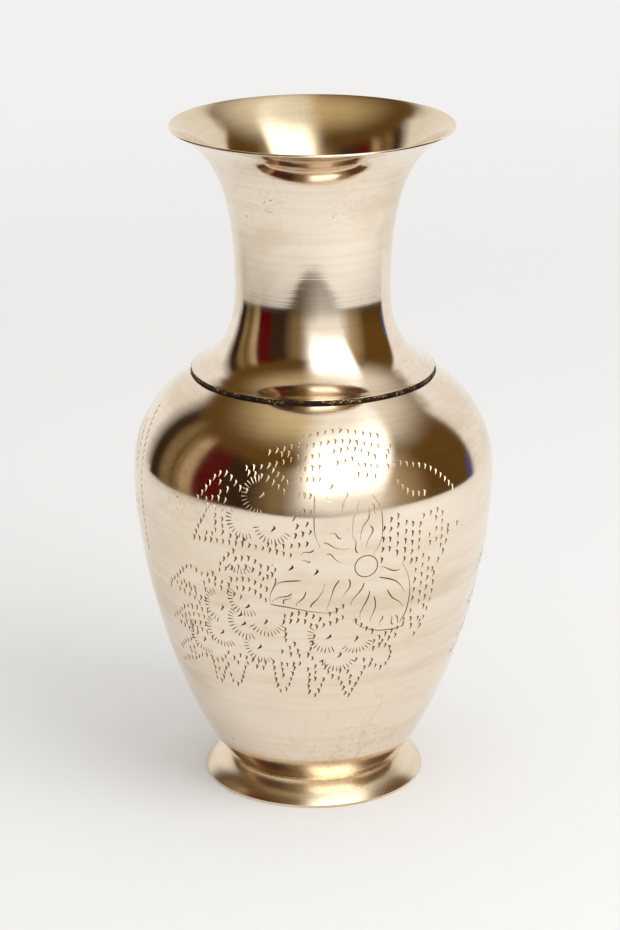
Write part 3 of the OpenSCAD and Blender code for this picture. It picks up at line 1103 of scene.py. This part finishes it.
class VASE_OT_foot(bpy.types.Operator):
    """Turn the cast foot ring, polished above and rough below"""

    bl_idname = "vase.foot"
    bl_label = "Cast foot"

    def execute(self, context):
        sizes, finish = context.scene.vase_sizes, context.scene.vase_finish
        foot = turn_on_lathe("cast_foot", foot_outline(sizes), 256)
        coat(foot, polished_brass("foot_brass", finish.foot_brass, finish, 1.6, rough=0.15),
             dull_brass("foot_underside", FOOT_UNDERSIDE, finish, 0.42))
        paint_inside(foot, (foot_handles(sizes),), sizes.foot_wall, 1)
        smooth(foot, 25)
        seat(foot, "foot_ring")
        return {"FINISHED"}


class VASE_OT_joints(bpy.types.Operator):
    """Lay the dark solder under the skirt and the bright one over the foot, and coat the braze"""

    bl_idname = "vase.joints"
    bl_label = "Solder and braze"

    def execute(self, context):
        sizes, finish = context.scene.vase_sizes, context.scene.vase_finish
        skirt = sizes.skirt_radius
        crust = lay_bead("crusted_bead", skirt - sizes.land_width, skirt + 0.15 * MM,
                         sizes.seat_height, sizes.skirt_height, 0.34 * MM, 3)
        # The crust's bright grains are painted glints
        coat(crust, crusted_metal("crusted_solder", finish, 0.56))
        smooth(crust, 60)
        seat(crust, "neck_solder")
        arris = sizes.arris_radius
        bead = lay_bead("scraped_bead", arris - FLANGE_WIDTH, arris + 0.1 * MM,
                        sizes.foot_top, sizes.joint_height, 0.03 * MM, 9)
        coat(bead, bright_solder("bright_solder", SCRAPED_SOLDER, 0.15))
        smooth(bead, 60)
        seat(bead, "foot_solder")
        coat(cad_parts["belly_braze"], bright_solder("raw_braze", RAW_BRAZE, 0.5))
        return {"FINISHED"}


def lay_bead(name, inner, outer, low, high, wander, seed):
    """A ring of filler metal with a wandering, lumpy outer edge."""
    middle = (low + high) / 2
    half = (high - low) / 2
    outline = [at(inner, low), at(outer - half, low)]
    for degrees in range(-75, 90, 30):
        way = heading(degrees)
        outline.append(at(outer - half + half * 1.5 * way.x, middle + half * way.y))
    outline += [at(outer - half, high), at(inner, high), at(inner, low)]
    bead = turn_on_lathe(name, outline, 384)
    hand = random.Random(seed)
    waves = [(n, hand.uniform(0, math.tau), hand.uniform(0.3, 1.0) / math.sqrt(n))
             for n in (2, 3, 5, 9, 17, 31, 53, 71, 97)]
    for vertex in bead.data.vertices:
        radius = math.hypot(vertex.co.x, vertex.co.y)
        if radius < outer - half * 1.01:
            continue
        turn = math.atan2(vertex.co.y, vertex.co.x)
        push = sum(size * math.sin(n * turn + phase) for n, phase, size in waves) * wander * 0.5
        grow = 1 + push / radius
        vertex.co.x *= grow
        vertex.co.y *= grow
    return bead


def set_camera(studio):
    """The camera in front of the vase, looking down at it."""
    lens = bpy.data.cameras.new("camera")
    lens.lens = studio.lens
    lens.sensor_width = 36
    lens.shift_x = studio.camera_shift
    lens.clip_start = 0.05
    camera = into_scene("camera", lens)
    tilt = Matrix.Rotation(math.pi / 2 - studio.camera_pitch, 4, "X")
    roll = Matrix.Rotation(studio.camera_roll, 4, "Z")
    place = Matrix.Translation((0, -studio.camera_distance, studio.camera_height))
    camera.matrix_world = place @ tilt @ roll
    bpy.context.scene.camera = camera


def bearing_of(tree, parts):
    """Degrees to the right of the front."""
    ahead = times(tree, parts[1], -1.0)
    return times(tree, calc(tree, "ARCTAN2", parts[0], ahead), 180 / math.pi)


def set_floor(studio):
    """A pale paper sweep that fades into the room. The metal mirrors only its part near the vase."""
    clear_selection()
    bpy.ops.mesh.primitive_circle_add(vertices=128, radius=studio.floor_radius, fill_type="NGON",
                                      location=(0, 0, 0))
    floor = bpy.context.object
    floor.name = "floor"
    paper = bpy.data.materials.new("paper")
    paper.use_nodes = True
    tree = paper.node_tree
    shader = tree.nodes["Principled BSDF"]
    shader.inputs["Base Color"].default_value = solid(studio.paper)
    shader.inputs["Roughness"].default_value = 0.9
    shader.inputs["Specular IOR Level"].default_value = 0.1
    here = add(tree, "ShaderNodeTexCoord").outputs["Object"]
    parts = split(tree, here)
    reach = add(tree, "ShaderNodeVectorMath", {0: here}, operation="LENGTH").outputs["Value"]
    turned = calc(tree, "ABSOLUTE", bearing_of(tree, parts))
    edge = plus(tree, between(tree, turned, 3, 52, 0.0, studio.sweep_gain), studio.sweep_near)
    over = between(tree, calc(tree, "SUBTRACT", reach, edge), -12 * MM, 12 * MM)
    in_front = between(tree, turned, 121, 125, 1.0, 0.0)
    mirrored = add(tree, "ShaderNodeLightPath").outputs["Is Glossy Ray"]
    open_to_room = times(tree, over, in_front, mirrored)
    fade = between(tree, reach, studio.floor_radius * 0.22, studio.floor_radius * 0.75)
    clear = calc(tree, "MAXIMUM", open_to_room, fade)
    gone = add(tree, "ShaderNodeBsdfTransparent").outputs[0]
    mix = add(tree, "ShaderNodeMixShader", {0: clear, 1: shader.outputs[0], 2: gone})
    tree.links.new(mix.outputs[0], tree.nodes["Material Output"].inputs["Surface"])
    coat(floor, paper)


# Colours of the room that the metal mirrors
BACKDROP = (0.92, 0.90, 0.88)
SHADE = (0.035, 0.015, 0.005)
TIMBER = (0.22, 0.15, 0.07)
PLASTER = (0.45, 0.33, 0.20)
CURTAIN = (0.09, 0.0, 0.0)
DAYLIGHT = (1.0, 0.97, 0.93)
WALL = (0.12, 0.06, 0.01)
CEILING = (0.66, 0.54, 0.32)
BALCONY = (0.90, 0.85, 0.75)
BLUE_CLOTH = (0.05, 0.08, 0.30)
WINDOW_HAZE = (1.03, 1.01, 0.97)
WINDOW_GLARE = (2.8, 2.8, 2.8)

# The window's sides, as shares of the way ahead, and how far the right one leans as it rises
WINDOW_LEFT = 0.15
WINDOW_RIGHT = 0.88
WINDOW_LEAN = 0.65

# The white round everything: what lights the paper, and what the camera sees past it
SURROUND = (0.84, 0.83, 0.81)
HORIZON = (0.89, 0.882, 0.868)

# The room's walls, round from behind by the left, the front and the right: the bearings between
# which each colour is even, in degrees to the right of the front. They blend in the gaps.
ROOM_FIELDS = (
    (-180, -137, BACKDROP), (-123, -116, SHADE), (-110, -104, TIMBER), (-101, -101, WALL),
    (-98, -95, TIMBER), (-92, -85, PLASTER), (-81, -64, CURTAIN), (-58, -42, SHADE),
    (-25, -20, TIMBER), (10, 36, DAYLIGHT), (55, 56, PLASTER), (78, 118, WALL),
    (123, 180, BACKDROP),
)


def room_walls(tree, bearing):
    """The walls' colour by bearing."""
    stops = [(edge / 360 + 0.5, colour) for start, end, colour in ROOM_FIELDS
             for edge in (start, end)]
    ramp = add(tree, "ShaderNodeValToRGB", {0: plus(tree, times(tree, bearing, 1 / 360), 0.5)})
    marks = ramp.color_ramp.elements
    while len(marks) < len(stops):
        marks.new(0.5)
    for mark, (place, colour) in zip(marks, stops):
        mark.position = place
    for mark, (place, colour) in zip(marks, stops):
        mark.color = solid(colour)
    return ramp.outputs[0]


def near(tree, value, middle, inner, outer):
    """1 within a distance from a middle, and 0 past a longer one."""
    away = calc(tree, "ABSOLUTE", calc(tree, "SUBTRACT", value, middle))
    return between(tree, away, inner, outer, 1.0, 0.0)


def dark_room(tree, way, bearing, rise):
    """Walls that darken towards the floor, under a ceiling with a rough edge."""
    low = calc(tree, "MAXIMUM", between(tree, rise, -26, 0, 0.22, 1.0),
               between(tree, calc(tree, "ABSOLUTE", bearing), 119, 125))
    walls = add(tree, "ShaderNodeVectorMath", {0: room_walls(tree, bearing), "Scale": low},
                operation="SCALE").outputs[0]
    ceiling = blend(tree, between(tree, rise, 46, 82), solid(WALL), solid(CEILING))
    height = plus(tree, rise, times(tree, noise(tree, way, 5.0, 3.0), 12.0))
    room = blend(tree, between(tree, height, 38, 50), walls, ceiling)
    pale_side = times(tree, between(tree, bearing, 45, 85), between(tree, rise, 30, 66))
    room = blend(tree, pale_side, room, solid(BALCONY))
    cloth = times(tree, near(tree, bearing, 117.0, 1.5, 3.0), near(tree, rise, -3.0, 4.0, 9.0))
    return blend(tree, cloth, room, solid(BLUE_CLOTH))


def add_window(tree, room, parts, rise):
    """The bright window in front, between two leaning sides, with its brighter core."""
    front = times(tree, parts[1], -1.0)
    left = plus(tree, parts[0], times(tree, front, WINDOW_LEFT))
    right = plus(tree, times(tree, parts[2], WINDOW_LEAN),
                 calc(tree, "SUBTRACT", times(tree, front, WINDOW_RIGHT), parts[0]))
    window = times(tree, between(tree, left, -0.12, 0.17), between(tree, right, -0.07, 0.07),
                   between(tree, rise, -12, 6))
    core = times(tree, between(tree, left, -0.06, 0.22), between(tree, right, -0.05, 0.26),
                 between(tree, rise, 1, 30), between(tree, rise, 42, 76, 1.0, 0.0))
    return blend(tree, window, room, blend(tree, core, solid(WINDOW_HAZE), solid(WINDOW_GLARE)))


def set_room():
    """Plain white all round, with the darker room in front of the vase for the metal to mirror."""
    world = bpy.data.worlds.new("room")
    bpy.context.scene.world = world
    world.use_nodes = True
    tree = world.node_tree
    tree.nodes.clear()
    way = add(tree, "ShaderNodeTexCoord").outputs["Generated"]
    parts = split(tree, way)
    rise = times(tree, calc(tree, "ARCSINE", parts[2]), 180 / math.pi)
    room = dark_room(tree, way, bearing_of(tree, parts), rise)
    ray = add(tree, "ShaderNodeLightPath").outputs
    straight = calc(tree, "MAXIMUM", ray["Is Camera Ray"], ray["Is Transmission Ray"])
    plain = blend(tree, straight, solid(SURROUND), solid(HORIZON))
    seen = blend(tree, ray["Is Glossy Ray"], plain, add_window(tree, room, parts, rise))
    glow = add(tree, "ShaderNodeBackground", {"Color": seen, "Strength": 1.0})
    final = add(tree, "ShaderNodeOutputWorld")
    tree.links.new(glow.outputs[0], final.inputs["Surface"])


# The lamp above and to the right of the front, in metres and watts
LAMP_PLACE = Vector((0.72, -0.58, 0.95))
LAMP_AIM = Vector((0, 0, 0.06))
LAMP_SIZE = 1.0
LAMP_POWER = 6.3
LAMP_COLOUR = (0.95, 0.98, 1.0)


def set_lamp():
    """A large soft lamp that shades the paper and isn't mirrored itself."""
    lamp = bpy.data.lights.new("key_lamp", "AREA")
    lamp.shape = "DISK"
    lamp.size = LAMP_SIZE
    lamp.energy = LAMP_POWER
    lamp.color = LAMP_COLOUR
    holder = into_scene("key_lamp", lamp)
    holder.location = LAMP_PLACE
    holder.rotation_euler = (LAMP_AIM - LAMP_PLACE).to_track_quat("-Z", "Y").to_euler()
    holder.visible_glossy = False


class VASE_OT_studio(bpy.types.Operator):
    """Set the camera, the pale floor, the room and the lamp"""

    bl_idname = "vase.studio"
    bl_label = "Studio"

    def execute(self, context):
        studio = context.scene.vase_studio
        set_camera(studio)
        set_floor(studio)
        set_room()
        set_lamp()
        return {"FINISHED"}


class VASE_PT_panel(bpy.types.Panel):
    """The vase's steps and sizes"""

    bl_label = "Brass vase"
    bl_idname = "VASE_PT_panel"
    bl_space_type = "VIEW_3D"
    bl_region_type = "UI"
    bl_category = "Vase"

    def draw(self, context):
        scene = context.scene
        for step in STEPS:
            self.layout.operator(step.bl_idname)
        for group in (scene.vase_sizes, scene.vase_engraving, scene.vase_finish,
                      scene.vase_studio):
            box = self.layout.box()
            for name in group.__annotations__:
                box.prop(group, name)


STEPS = (VASE_OT_studio, VASE_OT_neck, VASE_OT_body, VASE_OT_foot, VASE_OT_joints)
GROUPS = {
    "vase_sizes": VASE_PG_sizes,
    "vase_engraving": VASE_PG_engraving,
    "vase_finish": VASE_PG_finish,
    "vase_studio": VASE_PG_studio,
}


def register():
    """Add the classes and hang the settings on the scene."""
    for made in (*GROUPS.values(), *STEPS, VASE_PT_panel):
        bpy.utils.register_class(made)
    for name, group in GROUPS.items():
        setattr(bpy.types.Scene, name, PointerProperty(type=group))


def unregister():
    """Take the settings and the classes away again."""
    for name in GROUPS:
        delattr(bpy.types.Scene, name)
    for made in (VASE_PT_panel, *reversed(STEPS), *reversed(tuple(GROUPS.values()))):
        bpy.utils.unregister_class(made)


def main():
    """Build the vase and its studio."""
    register()
    view = bpy.context.scene.view_settings
    view.view_transform = "Standard"
    bpy.ops.vase.studio()
    bpy.ops.vase.neck()
    bpy.ops.vase.body()
    bpy.ops.vase.foot()
    bpy.ops.vase.joints()
    clear_selection()


if __name__ == "__main__":
    main()
